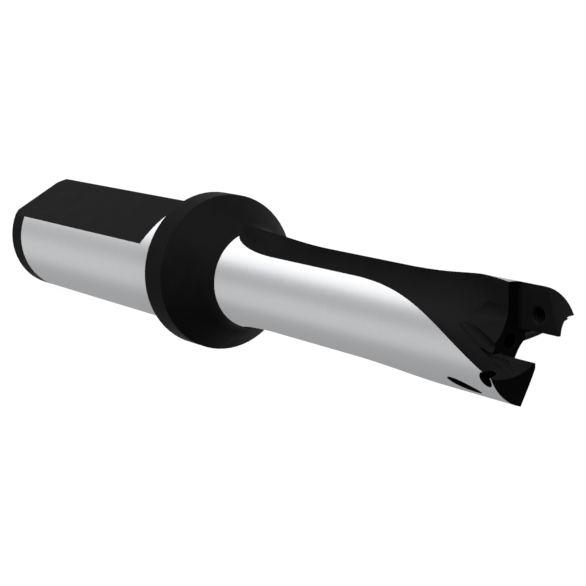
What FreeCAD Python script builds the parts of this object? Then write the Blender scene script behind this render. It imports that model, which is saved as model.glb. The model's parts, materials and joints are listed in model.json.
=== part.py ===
import FreeCAD
import Part
import math
import os

# Indexable drill body: one bar of steel, turned, fluted and milled. Millimetres, Z up.
# The drill stands on its shank end face, with its point upwards. Bearings are degrees about Z.

# Shank, cylindrical with one clamping flat
SHANK_R = 10.0
SHANK_CHAMFER_R = 0.8
SHANK_CHAMFER_L = 1.3
FLAT_FROM_AXIS = 7.92
FLAT_FLOOR_END = 47.8
FLAT_BEARING = 35.0

# Stop flange, its cone and the fillet at the root of the body
FLANGE_BACK = 55.1
FLANGE_WIDTH = 4.8
FLANGE_R = 12.5
BODY_R = 7.7
ROOT_Z = 68.1
ROOT_FILLET_R = 4.7

# Drill point: a shallow cone with a small flat
POINT_BASE_Z = 130.6
POINT_SLOPE = 0.5
POINT_FLAT_R = 2.8

# Flutes: straight from the root, then turning ever faster over the last stretch to the point
FLUTE_R = 5.46
WEB_HALF = 1.92
FLUTE_BEARING = 8.15
RUNOUT_LENGTH = 12.7
RUNOUT_PATH_R = 15.5
TWIST_LENGTH = 29.4
TWIST_PATH_R = 45.6
TWIST_SECTIONS = 4

# Insert slot across the point: a seat on each lobe, standing behind the axis, and one floor
SEAT_BEARING = 95.8
SEAT_BEHIND_AXIS = 1.87
SLOT_DEPTH = 4.24
SEAT_FILLET = 0.8
SLOT_AHEAD = 3.45
LOBE_INNER = 1.44

# Hole in the middle of the slot floor for the insert's locating pin
PIN_HOLE_R = 1.02
PIN_HOLE_DEPTH = 5.0
PIN_HOLE_TIP = 0.6

# Threaded hole through each lobe for its insert screw, smooth at the thread's minor radius
SCREW_HOLE_R = 1.02
SCREW_MOUTH_R = 1.25
SCREW_ALONG = 3.57
SCREW_ABOVE_FLOOR = 3.09

# Chip gullet, a round-ended groove ahead of each seat that opens outwards along it, and the
# narrow groove that runs over the coolant outlet. Each is placed where its axis passes the
# slot floor, and a lean is its run sideways for each millimetre up
GULLET_R = 2.4
GULLET_ALONG = 3.94
GULLET_AHEAD = 2.85
GULLET_LEAN_ALONG = -0.06
GULLET_LEAN_AHEAD = 0.27
GULLET_BELOW_FLOOR = 10.76
GULLET_FULL_BELOW_FLOOR = 5.6
OUTLET_GROOVE_R = 0.96
OUTLET_GROOVE_X = -0.7
OUTLET_GROOVE_Y = 3.48
OUTLET_LEAN_X = -0.365
OUTLET_LEAN_Y = 0.185
GROOVE_BELOW_FLOOR = 6.96

# Coolant: a bore up the shank, two slanting channels and their outlets
BORE_R = 3.0
BORE_DEPTH = 36.0
BORE_MOUTH = 0.5
CHANNEL_R = 0.7
CHANNEL_START_Y = 2.0
CHANNEL_START_Z = 33.0
OUTLET_X = -1.76
OUTLET_Y = 3.57
OUTLET_ABOVE_FLOOR = 0.54
SIDE_R = 0.96
SIDE_BEARING = 143.0
SIDE_BELOW_FLOOR = 2.46
SIDE_LENGTH_PER_R = 1.5
SIDE_OUT = 0.34
SIDE_ROUND = 0.26

# The blank's seam line, well away from the clamping flat, and how far cutters run past it
SEAM_FROM_FLAT = 142.5
OVER = 4.0
TOP_Z = POINT_BASE_Z + POINT_SLOPE * BODY_R + OVER
TURN_TO_FRAME = -90.0 - FLAT_BEARING
FLUTE_STRAIGHT_FROM = ROOT_Z + RUNOUT_LENGTH
TWIST_FROM = POINT_BASE_Z - TWIST_LENGTH
SEAT_FLOOR_Z = POINT_BASE_Z - SLOT_DEPTH
SCREW_Z = SEAT_FLOOR_Z + SCREW_ABOVE_FLOOR
OUTLET_FROM = SEAT_FLOOR_Z - GROOVE_BELOW_FLOOR
OUTLET_Z = SEAT_FLOOR_Z + OUTLET_ABOVE_FLOOR
SIDE_Z = SEAT_FLOOR_Z - SIDE_BELOW_FLOOR
SIDE_LENGTH = SIDE_LENGTH_PER_R * BODY_R

UP = FreeCAD.Vector(0, 0, 1)
ORIGIN = FreeCAD.Vector(0, 0, 0)


def at(r, z):
    return FreeCAD.Vector(r, 0, z)


def polar(r, bearing, z):
    a = math.radians(bearing)
    return FreeCAD.Vector(r * math.cos(a), r * math.sin(a), z)


def spun(shape, bearing):
    out = shape.copy()
    out.rotate(ORIGIN, UP, bearing)
    return out


def turned_blank():
    flange_front = FLANGE_BACK + FLANGE_WIDTH
    point_flat_z = POINT_BASE_Z + POINT_SLOPE * (BODY_R - POINT_FLAT_R)
    # tangent from the flange edge to the root fillet's circle
    centre_r = BODY_R + ROOT_FILLET_R
    dr = FLANGE_R - centre_r
    dz = flange_front - ROOT_Z
    reach = math.hypot(dr, dz)
    to_edge = math.atan2(dz, dr)
    half = math.acos(ROOT_FILLET_R / reach)
    touch = to_edge - half
    t_r = centre_r + ROOT_FILLET_R * math.cos(touch)
    t_z = ROOT_Z + ROOT_FILLET_R * math.sin(touch)
    mid = (touch - math.pi) / 2.0
    m_r = centre_r + ROOT_FILLET_R * math.cos(mid)
    m_z = ROOT_Z + ROOT_FILLET_R * math.sin(mid)
    edges = [
        Part.makeLine(at(0, 0), at(SHANK_R - SHANK_CHAMFER_R, 0)),
        Part.makeLine(at(SHANK_R - SHANK_CHAMFER_R, 0), at(SHANK_R, SHANK_CHAMFER_L)),
        Part.makeLine(at(SHANK_R, SHANK_CHAMFER_L), at(SHANK_R, FLANGE_BACK)),
        Part.makeLine(at(SHANK_R, FLANGE_BACK), at(FLANGE_R, FLANGE_BACK)),
        Part.makeLine(at(FLANGE_R, FLANGE_BACK), at(FLANGE_R, flange_front)),
        Part.makeLine(at(FLANGE_R, flange_front), at(t_r, t_z)),
        Part.Arc(at(t_r, t_z), at(m_r, m_z), at(BODY_R, ROOT_Z)).toShape(),
        Part.makeLine(at(BODY_R, ROOT_Z), at(BODY_R, POINT_BASE_Z)),
        Part.makeLine(at(BODY_R, POINT_BASE_Z), at(POINT_FLAT_R, point_flat_z)),
        Part.makeLine(at(POINT_FLAT_R, point_flat_z), at(0, point_flat_z)),
        Part.makeLine(at(0, point_flat_z), at(0, 0)),
    ]
    return Part.Face(Part.Wire(edges)).revolve(ORIGIN, UP, 360)


def flat_cutter():
    ramp = SHANK_R - FLAT_FROM_AXIS + OVER
    near = FLAT_FROM_AXIS
    far = FLAT_FROM_AXIS + ramp
    outline = [
        at(near, -OVER),
        at(near, FLAT_FLOOR_END),
        at(far, FLAT_FLOOR_END + ramp),
        at(far, -OVER),
        at(near, -OVER),
    ]
    face = Part.Face(Part.makePolygon(outline))
    face.translate(FreeCAD.Vector(0, -SHANK_R, 0))
    return spun(face.extrude(FreeCAD.Vector(0, 2 * SHANK_R, 0)), FLAT_BEARING)


def twist(z):
    run = max(0.0, z - TWIST_FROM)
    return math.degrees(run * run / (2.0 * TWIST_PATH_R) / BODY_R)


def flute_cutters(bearing):
    centre = WEB_HALF + FLUTE_R
    top = TOP_Z
    straight = Part.makeCylinder(
        FLUTE_R, TWIST_FROM - FLUTE_STRAIGHT_FROM, at(centre, FLUTE_STRAIGHT_FROM), UP)
    swing = at(centre + RUNOUT_PATH_R, FLUTE_STRAIGHT_FROM)
    ring = Part.Face(Part.Wire(Part.makeCircle(FLUTE_R, at(centre, FLUTE_STRAIGHT_FROM), UP)))
    runout = ring.revolve(swing, FreeCAD.Vector(0, -1, 0), 75)
    wires = []
    for i in range(TWIST_SECTIONS + 1):
        z = TWIST_FROM + (top - TWIST_FROM) * i / TWIST_SECTIONS
        circle = Part.makeCircle(FLUTE_R, at(centre, z), UP)
        wires.append(spun(Part.Wire(circle), twist(z)))
    twisted = Part.makeLoft(wires, True, False, False, 5)
    return [spun(s, bearing) for s in (straight, runout, twisted)]


def rod(start, end, radius):
    way = end.sub(start)
    return Part.makeCylinder(radius, way.Length, start, way)


def seat_point(along, ahead, z):
    a = math.radians(SEAT_BEARING - 90.0)
    x = along * math.cos(a) - ahead * math.sin(a)
    y = along * math.sin(a) + ahead * math.cos(a)
    return FreeCAD.Vector(x, y, z)


def slot_cutter():
    # the room ahead of one seat and above the floor, with the corner between them rounded
    wide = BODY_R + OVER
    box = Part.makeBox(LOBE_INNER + wide, SLOT_AHEAD + SEAT_BEHIND_AXIS, TOP_Z - SEAT_FLOOR_Z,
                       FreeCAD.Vector(-LOBE_INNER, -SEAT_BEHIND_AXIS, SEAT_FLOOR_Z))
    corner = [
        e for e in box.Edges
        if abs(e.CenterOfMass.y + SEAT_BEHIND_AXIS) < 1e-6
        and abs(e.CenterOfMass.z - SEAT_FLOOR_Z) < 1e-6
    ]
    return spun(box.makeFillet(SEAT_FILLET, corner), SEAT_BEARING - 90.0)


def gullet_cutter():
    lean = FreeCAD.Vector(GULLET_LEAN_ALONG, GULLET_LEAN_AHEAD, 1.0)
    centre = FreeCAD.Vector(GULLET_ALONG, GULLET_AHEAD, SEAT_FLOOR_Z)
    middle = centre.sub(lean * GULLET_FULL_BELOW_FLOOR)
    across = FreeCAD.Vector(0, GULLET_R, 0)
    out = FreeCAD.Vector(BODY_R + OVER, 0, 0)
    near = middle.sub(across)
    far = middle.add(across)
    end = middle.sub(FreeCAD.Vector(GULLET_R, 0, 0))
    edges = [
        Part.Arc(far, end, near).toShape(),
        Part.makeLine(near, near.add(out)),
        Part.makeLine(near.add(out), far.add(out)),
        Part.makeLine(far.add(out), far),
    ]
    section = Part.Wire(edges)
    top = lean * (TOP_Z - SEAT_FLOOR_Z + GULLET_FULL_BELOW_FLOOR)
    gullet = Part.Face(section).extrude(top)
    # it starts as a point on the flute's floor and widens to the full section
    point = centre.sub(lean * GULLET_BELOW_FLOOR).sub(FreeCAD.Vector(GULLET_R, 0, 0))
    start = Part.makeLoft([Part.Vertex(point), section], True, True)
    return spun(gullet.fuse(start), SEAT_BEARING - 90.0)


def outlet_groove_cutter():
    lean = FreeCAD.Vector(OUTLET_LEAN_X, OUTLET_LEAN_Y, 1.0)
    crossing = FreeCAD.Vector(OUTLET_GROOVE_X, OUTLET_GROOVE_Y, SEAT_FLOOR_Z)
    start = crossing.add(lean * (OUTLET_FROM - SEAT_FLOOR_Z))
    end = crossing.add(lean * (TOP_Z - SEAT_FLOOR_Z))
    return rod(start, end, OUTLET_GROOVE_R).fuse(Part.makeSphere(OUTLET_GROOVE_R, start))


def screw_cutter():
    wide = BODY_R + OVER
    mouth = seat_point(SCREW_ALONG, -SEAT_BEHIND_AXIS, SCREW_Z)
    hole = rod(mouth, seat_point(SCREW_ALONG, -wide, SCREW_Z), SCREW_HOLE_R)
    depth = SCREW_MOUTH_R - SCREW_HOLE_R
    way = seat_point(SCREW_ALONG, -SEAT_BEHIND_AXIS - depth, SCREW_Z).sub(mouth)
    return hole.fuse(Part.makeCone(SCREW_MOUTH_R, SCREW_HOLE_R, depth, mouth, way))


def coolant_cutters():
    outlet = FreeCAD.Vector(OUTLET_X, OUTLET_Y, OUTLET_Z)
    start = FreeCAD.Vector(0, CHANNEL_START_Y, CHANNEL_START_Z)
    way = outlet.sub(start)
    way.normalize()
    channel = rod(start, outlet.add(way * (OVER / 2.0)), CHANNEL_R)
    side_end = polar(BODY_R, SIDE_BEARING, SIDE_Z)
    out = polar(1.0, SIDE_BEARING, 0)
    round_way = polar(1.0, SIDE_BEARING + 90.0, 0)
    rise = math.sqrt(1.0 - SIDE_OUT ** 2 - SIDE_ROUND ** 2)
    side_way = out * SIDE_OUT + round_way * SIDE_ROUND + UP * rise
    side = rod(side_end.sub(side_way * SIDE_LENGTH), side_end.add(side_way * OVER), SIDE_R)
    return [channel, side]


body = spun(turned_blank(), FLAT_BEARING + SEAM_FROM_FLAT)
body = body.cut(flat_cutter())
cutters = flute_cutters(FLUTE_BEARING)
cutters += [slot_cutter(), gullet_cutter(), outlet_groove_cutter(), screw_cutter()]
cutters += coolant_cutters()
for cutter in cutters:
    body = body.cut(cutter)
    body = body.cut(spun(cutter, 180.0))
pin_bottom = SEAT_FLOOR_Z - PIN_HOLE_DEPTH
pin_hole = rod(at(0, pin_bottom), at(0, SEAT_FLOOR_Z + OVER), PIN_HOLE_R)
pin_tip = Part.makeCone(0.0, PIN_HOLE_R, PIN_HOLE_TIP, at(0, pin_bottom - PIN_HOLE_TIP), UP)
body = body.cut(pin_hole.fuse(pin_tip))
bore = rod(at(0, -OVER), at(0, BORE_DEPTH), BORE_R)
bore = bore.fuse(Part.makeCone(BORE_R + BORE_MOUTH, BORE_R, BORE_MOUTH, at(0, 0), UP))
body = body.cut(bore)

body = spun(body, TURN_TO_FRAME)
os.makedirs("parts", exist_ok=True)
body.exportStep("parts/drill_body.step")
print("solids", len(body.Solids), "valid", body.isValid(), "volume", round(body.Volume, 1))
for solid in body.Solids:
    print("  ", round(solid.Volume, 2), solid.CenterOfMass)
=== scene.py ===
import json
import math

import bpy
import numpy as np
from mathutils import Matrix, Vector


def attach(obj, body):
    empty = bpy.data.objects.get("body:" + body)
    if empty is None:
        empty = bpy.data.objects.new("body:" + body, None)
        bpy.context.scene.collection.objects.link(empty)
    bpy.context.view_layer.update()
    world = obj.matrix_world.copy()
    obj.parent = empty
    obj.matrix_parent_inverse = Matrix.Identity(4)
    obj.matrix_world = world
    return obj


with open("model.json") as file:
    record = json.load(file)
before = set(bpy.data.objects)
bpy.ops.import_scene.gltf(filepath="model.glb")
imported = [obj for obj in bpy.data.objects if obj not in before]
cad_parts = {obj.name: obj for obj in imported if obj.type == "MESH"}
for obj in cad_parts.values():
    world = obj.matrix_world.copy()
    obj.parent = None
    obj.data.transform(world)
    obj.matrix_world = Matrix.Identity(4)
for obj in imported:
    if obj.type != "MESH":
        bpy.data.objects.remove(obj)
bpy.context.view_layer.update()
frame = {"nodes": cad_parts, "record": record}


# Camera
# The drill stands on its shank end, and the camera looks down its length from above the point.
# It is rolled, so that the standing drill lies nearly level in the picture, point to the right.
CAMERA_PLACE = (0.10007, -0.10375, 0.27536)      # m
PICTURE_RIGHT = (-0.71499, 0.40001, 0.57340)     # which way the picture's right side faces
PICTURE_UP = (-0.56774, -0.81082, -0.14230)      # and its top
SENSOR_MM, LENS_MM = 36.0, 99.17

camera_data = bpy.data.cameras.new("camera")
camera_data.sensor_width = SENSOR_MM
camera_data.lens = LENS_MM
camera_data.clip_start = 0.005
camera_data.clip_end = 20.0
camera = bpy.data.objects.new("camera", camera_data)
bpy.context.scene.collection.objects.link(camera)
right = Vector(PICTURE_RIGHT).normalized()
back = right.cross(Vector(PICTURE_UP)).normalized()
turned = Matrix((right, back.cross(right), back)).transposed().to_4x4()
camera.matrix_world = Matrix.Translation(CAMERA_PLACE) @ turned
bpy.context.scene.camera = camera


# Drill body
# One bar of alloy tool steel, turned and fluted, hardened, then blackened all over in a hot
# oxide bath. Last of all the shank and the lands are ground to size between centres, which
# takes the black off them and leaves them bright with fine rings round the axis.
def linear(hex_colour):
    """sRGB hex to linear red, green, blue and alpha: the standard curve on each channel."""
    channels = np.array([int(hex_colour[i:i + 2], 16) for i in (1, 3, 5)]) / 255.0
    flat = np.where(channels <= 0.04045, channels / 12.92, ((channels + 0.055) / 1.055) ** 2.4)
    return (*flat.tolist(), 1.0)


def add(tree, kind, links=None, **settings):
    """Adds one node: settings are its own, links gives each input a socket or a plain value."""
    node = tree.nodes.new(kind)
    for name, value in settings.items():
        setattr(node, name, value)
    for name, value in (links or {}).items():
        if isinstance(value, bpy.types.NodeSocket):
            tree.links.new(value, node.inputs[name])
        else:
            node.inputs[name].default_value = value
    return node


SHANK_R, LAND_R = 10.0, 7.7            # mm, the two ground cylinders
SHANK_OFF, LAND_OFF = 0.06, 0.05       # mm, how far their facets may lie off the true round
BLACK_END_Z, ROOT_Z = 5.1, 68.1        # mm, where grinding starts on the shank and on the lands
FACES_OUT = 0.985                      # cosine of the tilt up to which a facet faces out
RING_MM = 0.38                         # grinding rings are near 0.02 mm, drawn coarser to show
RING_DRIFT = 0.12                      # noise cells for each mm sideways, so no ring is even
BLOTCH_MM, GRAIN_MM = 3.2, 0.30        # oxide clouding, and the fine blasted grain under it
CUTTER_MARK_MM = 0.62                  # feed marks across the flutes
CUTTER_MARK_HIGH = 0.35                # their height against the grain's
RELIEF_MM = 0.02                       # height of the relief where it is 1
EASED_MM = 0.12                        # radius that the deburred edges show
EDGE_WEAR = 0.12                       # share of rubbed oxide on a worn edge
BRIGHT_STEEL = "#b8b9bb"
GRAZING_STEEL = "#3c3c3c"              # the ground steel's tint towards grazing angles
BLACK_OXIDE, RUBBED_OXIDE = "#111112", "#6a6b6d"

# The steel's two finishes in one material. Ground, it is a satin metal whose highlight is drawn
# out along the drill. Blackened, it is a dull, faintly clouded crust with next to no gloss.
tool_steel = bpy.data.materials.new("tool_steel_ground_and_black_oxide")
tool_steel.use_nodes = True
tree = tool_steel.node_tree
tree.nodes.clear()
place = add(tree, "ShaderNodeTexCoord").outputs["Object"]
mm = add(tree, "ShaderNodeVectorMath", {0: place, "Scale": 1000.0}, operation="SCALE").outputs[0]
height = add(tree, "ShaderNodeSeparateXYZ", {0: mm}).outputs["Z"]
across = add(tree, "ShaderNodeVectorMath", {0: mm, 1: (1, 1, 0)}, operation="MULTIPLY").outputs[0]
radius = add(tree, "ShaderNodeVectorMath", {0: across}, operation="LENGTH").outputs["Value"]
outward = add(tree, "ShaderNodeVectorMath", {0: across}, operation="NORMALIZE").outputs[0]
face = add(tree, "ShaderNodeNewGeometry")
square_on = add(tree, "ShaderNodeVectorMath", {0: outward, 1: face.outputs["True Normal"]},
                operation="DOT_PRODUCT").outputs["Value"]

# where the wheel has been: on a ground radius, past its black start, and facing straight out
cylinders = []
for ground_r, off, ground_from in ((SHANK_R, SHANK_OFF, BLACK_END_Z), (LAND_R, LAND_OFF, ROOT_Z)):
    on_radius = add(tree, "ShaderNodeMath", {0: radius, 1: ground_r, 2: off}, operation="COMPARE")
    past_black = add(tree, "ShaderNodeMath", {0: height, 1: ground_from},
                     operation="GREATER_THAN")
    cylinders.append(add(tree, "ShaderNodeMath", {0: on_radius.outputs[0],
                                                  1: past_black.outputs[0]},
                         operation="MULTIPLY").outputs[0])
either = add(tree, "ShaderNodeMath", {0: cylinders[0], 1: cylinders[1]}, operation="MAXIMUM")
facing_out = add(tree, "ShaderNodeMath", {0: square_on, 1: FACES_OUT}, operation="GREATER_THAN")
ground = add(tree, "ShaderNodeMath", {0: either.outputs[0], 1: facing_out.outputs[0]},
             operation="MULTIPLY").outputs[0]

# grinding rings: a noise that changes fast along the axis and slowly round it; a noise's values
# gather round 0.5, so the ranges below start from the narrow band that they fill; in a Mix of
# colours, input 0 is the share, and 6 and 7 are the two colours
ring_place = add(tree, "ShaderNodeVectorMath", {0: mm, 1: (RING_DRIFT, RING_DRIFT, 1.0 / RING_MM)},
                 operation="MULTIPLY").outputs[0]
rings = add(tree, "ShaderNodeTexNoise", {"Vector": ring_place, "Scale": 1.0, "Detail": 3.0,
                                         "Roughness": 0.6}).outputs["Fac"]
ring_tone = add(tree, "ShaderNodeMapRange", {"Value": rings, "From Min": 0.3, "From Max": 0.7,
                                             "To Min": 0.95, "To Max": 1.02}).outputs[0]
bright = add(tree, "ShaderNodeMix", {0: 1.0, 6: linear(BRIGHT_STEEL), 7: ring_tone},
             data_type="RGBA", blend_type="MULTIPLY").outputs[2]
ring_rough = add(tree, "ShaderNodeMapRange", {"Value": rings, "From Min": 0.3, "From Max": 0.7,
                                              "To Min": 0.55, "To Max": 0.61}).outputs[0]

# black oxide: slow clouding and fine grain in its tone, and the clouding in its roughness too
blotches = add(tree, "ShaderNodeTexNoise", {"Vector": mm, "Scale": 1.0 / BLOTCH_MM,
                                            "Detail": 4.0, "Roughness": 0.55}).outputs["Fac"]
grain = add(tree, "ShaderNodeTexNoise", {"Vector": mm, "Scale": 1.0 / GRAIN_MM,
                                         "Detail": 2.0}).outputs["Fac"]
cloud = add(tree, "ShaderNodeMapRange", {"Value": blotches, "From Min": 0.35, "From Max": 0.65,
                                         "To Min": 0.86, "To Max": 1.12}).outputs[0]
speckle = add(tree, "ShaderNodeMapRange", {"Value": grain, "From Min": 0.35, "From Max": 0.65,
                                           "To Min": 0.90, "To Max": 1.10}).outputs[0]
oxide_tone = add(tree, "ShaderNodeMath", {0: cloud, 1: speckle}, operation="MULTIPLY").outputs[0]
oxide = add(tree, "ShaderNodeMix", {0: 1.0, 6: linear(BLACK_OXIDE), 7: oxide_tone},
            data_type="RGBA", blend_type="MULTIPLY").outputs[2]
oxide_rough = add(tree, "ShaderNodeMapRange", {"Value": blotches, "From Min": 0.35,
                                               "From Max": 0.65, "To Min": 0.50,
                                               "To Max": 0.60}).outputs[0]

# cutter marks: shallow ridges across the flutes and pockets, one for each feed of the mill
mark_phase = add(tree, "ShaderNodeMath", {0: height, 1: 2.0 * math.pi / CUTTER_MARK_MM},
                 operation="MULTIPLY").outputs[0]
marks = add(tree, "ShaderNodeMath", {0: mark_phase}, operation="SINE").outputs[0]
inside_body = add(tree, "ShaderNodeMath", {0: radius, 1: LAND_R - LAND_OFF},
                  operation="LESS_THAN").outputs[0]
marks_here = add(tree, "ShaderNodeMath", {0: marks, 1: inside_body},
                 operation="MULTIPLY").outputs[0]

# edges: where the rounded-over normal leaves the face's own, the oxide is rubbed thin in spots
eased = add(tree, "ShaderNodeBevel", {"Radius": EASED_MM / 1000.0}, samples=4).outputs[0]
agree = add(tree, "ShaderNodeVectorMath", {0: eased, 1: face.outputs["Normal"]},
            operation="DOT_PRODUCT").outputs["Value"]
edge = add(tree, "ShaderNodeMapRange", {"Value": agree, "From Min": 0.985,
                                        "From Max": 0.90}).outputs[0]
spots = add(tree, "ShaderNodeMapRange", {"Value": blotches, "From Min": 0.42,
                                         "From Max": 0.62}).outputs[0]
worn = add(tree, "ShaderNodeMath", {0: edge, 1: spots}, operation="MULTIPLY").outputs[0]
wear = add(tree, "ShaderNodeMath", {0: worn, 1: EDGE_WEAR}, operation="MULTIPLY").outputs[0]
worn_oxide = add(tree, "ShaderNodeMix", {0: wear, 6: oxide, 7: linear(RUBBED_OXIDE)},
                 data_type="RGBA").outputs[2]

# relief: rings where ground, grain and cutter marks where black; the ground faces take their
# normal from the axis, so that their facets don't show, and the black ones from the eased edges
ring_relief = add(tree, "ShaderNodeMath", {0: rings, 1: ground}, operation="MULTIPLY").outputs[0]
black_relief = add(tree, "ShaderNodeMath", {0: marks_here, 1: CUTTER_MARK_HIGH, 2: grain},
                   operation="MULTIPLY_ADD").outputs[0]
relief = add(tree, "ShaderNodeMix", {0: ground, 2: black_relief, 3: ring_relief},
             data_type="FLOAT").outputs[0]
relief_bump = {"Strength": 0.25, "Distance": RELIEF_MM / 1000.0, "Height": relief}
black_normal = add(tree, "ShaderNodeBump", {**relief_bump, "Normal": eased}).outputs[0]
bright_normal = add(tree, "ShaderNodeBump", {**relief_bump, "Normal": outward}).outputs[0]

# the wheel's lines run round the axis, so light spreads along it
tangent = add(tree, "ShaderNodeVectorMath", {0: (0, 0, 1), 1: outward},
              operation="CROSS_PRODUCT").outputs[0]
bright_steel = add(tree, "ShaderNodeBsdfPrincipled", {
    "Base Color": bright, "Metallic": 0.9, "Roughness": ring_rough, "Anisotropic": 0.9,
    "Anisotropic Rotation": 0.25, "Specular Tint": linear(GRAZING_STEEL), "Tangent": tangent,
    "Normal": bright_normal})
black_steel = add(tree, "ShaderNodeBsdfPrincipled", {
    "Base Color": worn_oxide, "Metallic": 0.0, "Roughness": oxide_rough,
    "Specular IOR Level": 0.01, "Normal": black_normal})
surface = add(tree, "ShaderNodeMixShader", {0: ground, 1: black_steel.outputs[0],
                                            2: bright_steel.outputs[0]})
add(tree, "ShaderNodeOutputMaterial", {"Surface": surface.outputs[0]})

drill = frame["nodes"]["drill_body"]
drill.material_slots[0].material = tool_steel


# Insert screw threads
# The two insert screws go into tapped holes, square to each seat and out through the lobe.
# The thread is cut in the same steel and blackened with it. The solid's hole is smooth at
# its minor radius, and this piece is the thread's crests, a ridge wound inside the hole.
THREAD_PITCH = 0.45                    # mm, the usual pitch of an M2.5 screw
THREAD_HIGH, THREAD_SUNK = 0.11, 0.02  # mm, the crest in from the hole's wall, the foot behind it
CREST_HALF, FOOT_HALF = 0.05, 0.20     # mm, half the ridge's width at its crest and at its foot
THREAD_FROM, THREAD_TO = 1.95, -1.5    # mm along the hole from its middle, mouth first
FADE_TURNS = 0.5                       # turns in which the ridge rises at each end
STEPS_A_TURN = 36


def thread_ridge(middle, axis, wall_r):
    """Points and faces of the ridge, in mm: a helix round the axis, with a trapezium for its
    section and a cap on each end. The crest rises from nothing at both ends."""
    turns = (THREAD_FROM - THREAD_TO) / THREAD_PITCH
    t = np.linspace(0.0, turns, int(turns * STEPS_A_TURN) + 1)[:, None]
    side = np.cross(axis, (0.0, 0.0, 1.0))
    up = np.cross(side, axis)
    angle = 2.0 * np.pi * t[..., None]
    spoke = np.cos(angle) * side + np.sin(angle) * up
    section = np.array([-FOOT_HALF, -CREST_HALF, CREST_HALF, FOOT_HALF])
    along = THREAD_FROM - THREAD_PITCH * t + section
    crest = THREAD_HIGH * np.clip(np.minimum(t, turns - t) / FADE_TURNS, 0.0, 1.0)
    foot = np.full_like(crest, -THREAD_SUNK)
    high = np.hstack([foot, crest, crest, foot])
    points = middle + along[..., None] * axis + (wall_r - high)[..., None] * spoke
    corner = np.arange(high.size).reshape(high.shape)
    here, ahead = corner[:-1], corner[1:]
    sides = np.stack([here, ahead, np.roll(ahead, -1, axis=1), np.roll(here, -1, axis=1)], axis=-1)
    faces = np.concatenate([sides.reshape(-1, 4), corner[:1], corner[-1:, ::-1]])
    return points.reshape(-1, 3), faces


mounts = {mount["name"]: mount for mount in frame["record"]["mounts"]}
for number in (1, 2):
    hole = mounts[f"insert_screw_{number}"]
    points, faces = thread_ridge(1000.0 * np.array(hole["pos_m"]), np.array(hole["axis"]),
                                 hole["dims"]["r_mm"])
    thread_mesh = bpy.data.meshes.new(f"insert_screw_thread_{number}")
    thread_mesh.from_pydata((points / 1000.0).tolist(), [], faces.tolist())
    thread_mesh.polygons.foreach_set("use_smooth", np.ones(len(faces), bool))
    thread_mesh.materials.append(tool_steel)
    thread = bpy.data.objects.new(f"insert_screw_thread_{number}", thread_mesh)
    bpy.context.scene.collection.objects.link(thread)
    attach(thread, "root")


# Studio
# A white table, a long low strip of light on the side that is up in the picture, a weak one
# from the front and one for the back, and a white room all round.
FLOOR_HALF = 3.0                       # m, half the table's width
FLOOR_LIFT = 0.97                      # brings the lit table to white where it is seen
AIM_HEIGHT = 0.07                      # m, where the lamps point, near the drill's middle
ROOM_SEEN, ROOM_LIGHT = 1.0, 0.06      # the room's strength where seen, and as light on things


def seen_rays(tree):
    """1 for a ray from the camera, off gloss or through glass, and 0 for any other. The table
    and the room are white to those rays alone, so their white doesn't light the dull faces."""
    ray = add(tree, "ShaderNodeLightPath").outputs
    camera_or_gloss = add(tree, "ShaderNodeMath", {0: ray["Is Camera Ray"], 1: ray["Is Glossy Ray"]},
                          operation="MAXIMUM")
    return add(tree, "ShaderNodeMath", {0: camera_or_gloss.outputs[0],
                                        1: ray["Is Transmission Ray"]},
               operation="MAXIMUM").outputs[0]


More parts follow.
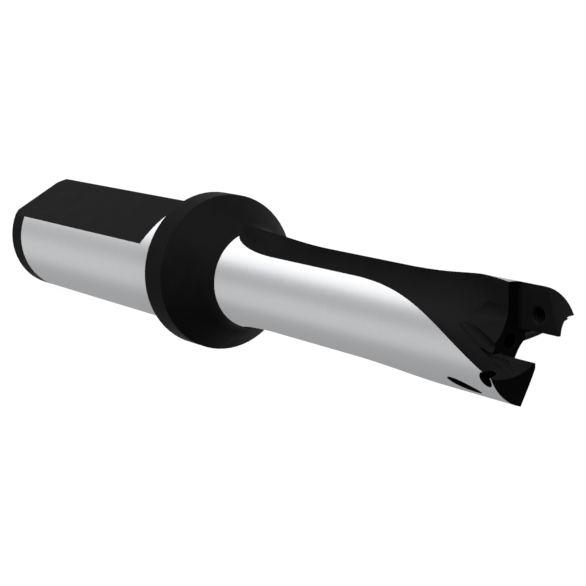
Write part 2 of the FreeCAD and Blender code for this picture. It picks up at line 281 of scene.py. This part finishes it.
# painted board, dull and plain: the lamps light its mid grey, which keeps the drill's soft
# shadow, and the lift brings it to white where it is seen
white_table = bpy.data.materials.new("white_table")
white_table.use_nodes = True
tree = white_table.node_tree
tree.nodes.clear()
paint = add(tree, "ShaderNodeBsdfDiffuse", {"Color": linear("#808080")})
lift = add(tree, "ShaderNodeEmission", {"Color": linear("#ffffff"), "Strength": FLOOR_LIFT})
lift_seen = add(tree, "ShaderNodeMixShader", {0: seen_rays(tree), 2: lift.outputs[0]})
lifted = add(tree, "ShaderNodeAddShader", {0: paint.outputs[0], 1: lift_seen.outputs[0]})
add(tree, "ShaderNodeOutputMaterial", {"Surface": lifted.outputs[0]})

floor_mesh = bpy.data.meshes.new("floor")
corners = FLOOR_HALF * np.array([[-1, -1, 0], [1, -1, 0], [1, 1, 0], [-1, 1, 0]])
floor_mesh.from_pydata(corners.tolist(), [], [[0, 1, 2, 3]])
floor_mesh.materials.append(white_table)
floor = bpy.data.objects.new("floor", floor_mesh)
bpy.context.scene.collection.objects.link(floor)


def soft_lamp(name, bearing, distance, height, size, watts):
    """A strip lamp at a bearing round the drill, in degrees, turned to face AIM_HEIGHT on its
    axis. Its other measures are in metres."""
    data = bpy.data.lights.new(name, "AREA")
    data.shape = "RECTANGLE"
    data.size, data.size_y = size
    data.energy = watts
    lamp = bpy.data.objects.new(name, data)
    bpy.context.scene.collection.objects.link(lamp)
    turn = math.radians(bearing)
    lamp.location = (distance * math.cos(turn), distance * math.sin(turn), height)
    from_aim = lamp.location - Vector((0, 0, AIM_HEIGHT))
    lamp.rotation_euler = from_aim.to_track_quat("Z", "Y").to_euler()
    lamp.visible_camera = False


soft_lamp("key", bearing=-94.0, distance=0.8, height=0.16, size=(1.0, 0.18), watts=10.5)
soft_lamp("fill", bearing=-10.0, distance=0.9, height=0.10, size=(0.6, 0.18), watts=1.9)
soft_lamp("back", bearing=172.0, distance=0.9, height=0.12, size=(0.6, 0.18), watts=1.3)

room = bpy.data.worlds.new("white_room")
bpy.context.scene.world = room
room.use_nodes = True
tree = room.node_tree
tree.nodes.clear()
walls = add(tree, "ShaderNodeBackground", {"Color": linear("#ffffff"), "Strength": ROOM_SEEN})
ambient = add(tree, "ShaderNodeBackground", {"Color": linear("#ffffff"), "Strength": ROOM_LIGHT})
mixed = add(tree, "ShaderNodeMixShader", {0: seen_rays(tree), 1: ambient.outputs[0],
                                          2: walls.outputs[0]})
add(tree, "ShaderNodeOutputWorld", {"Surface": mixed.outputs[0]})

bpy.context.scene.view_settings.view_transform = "Standard"
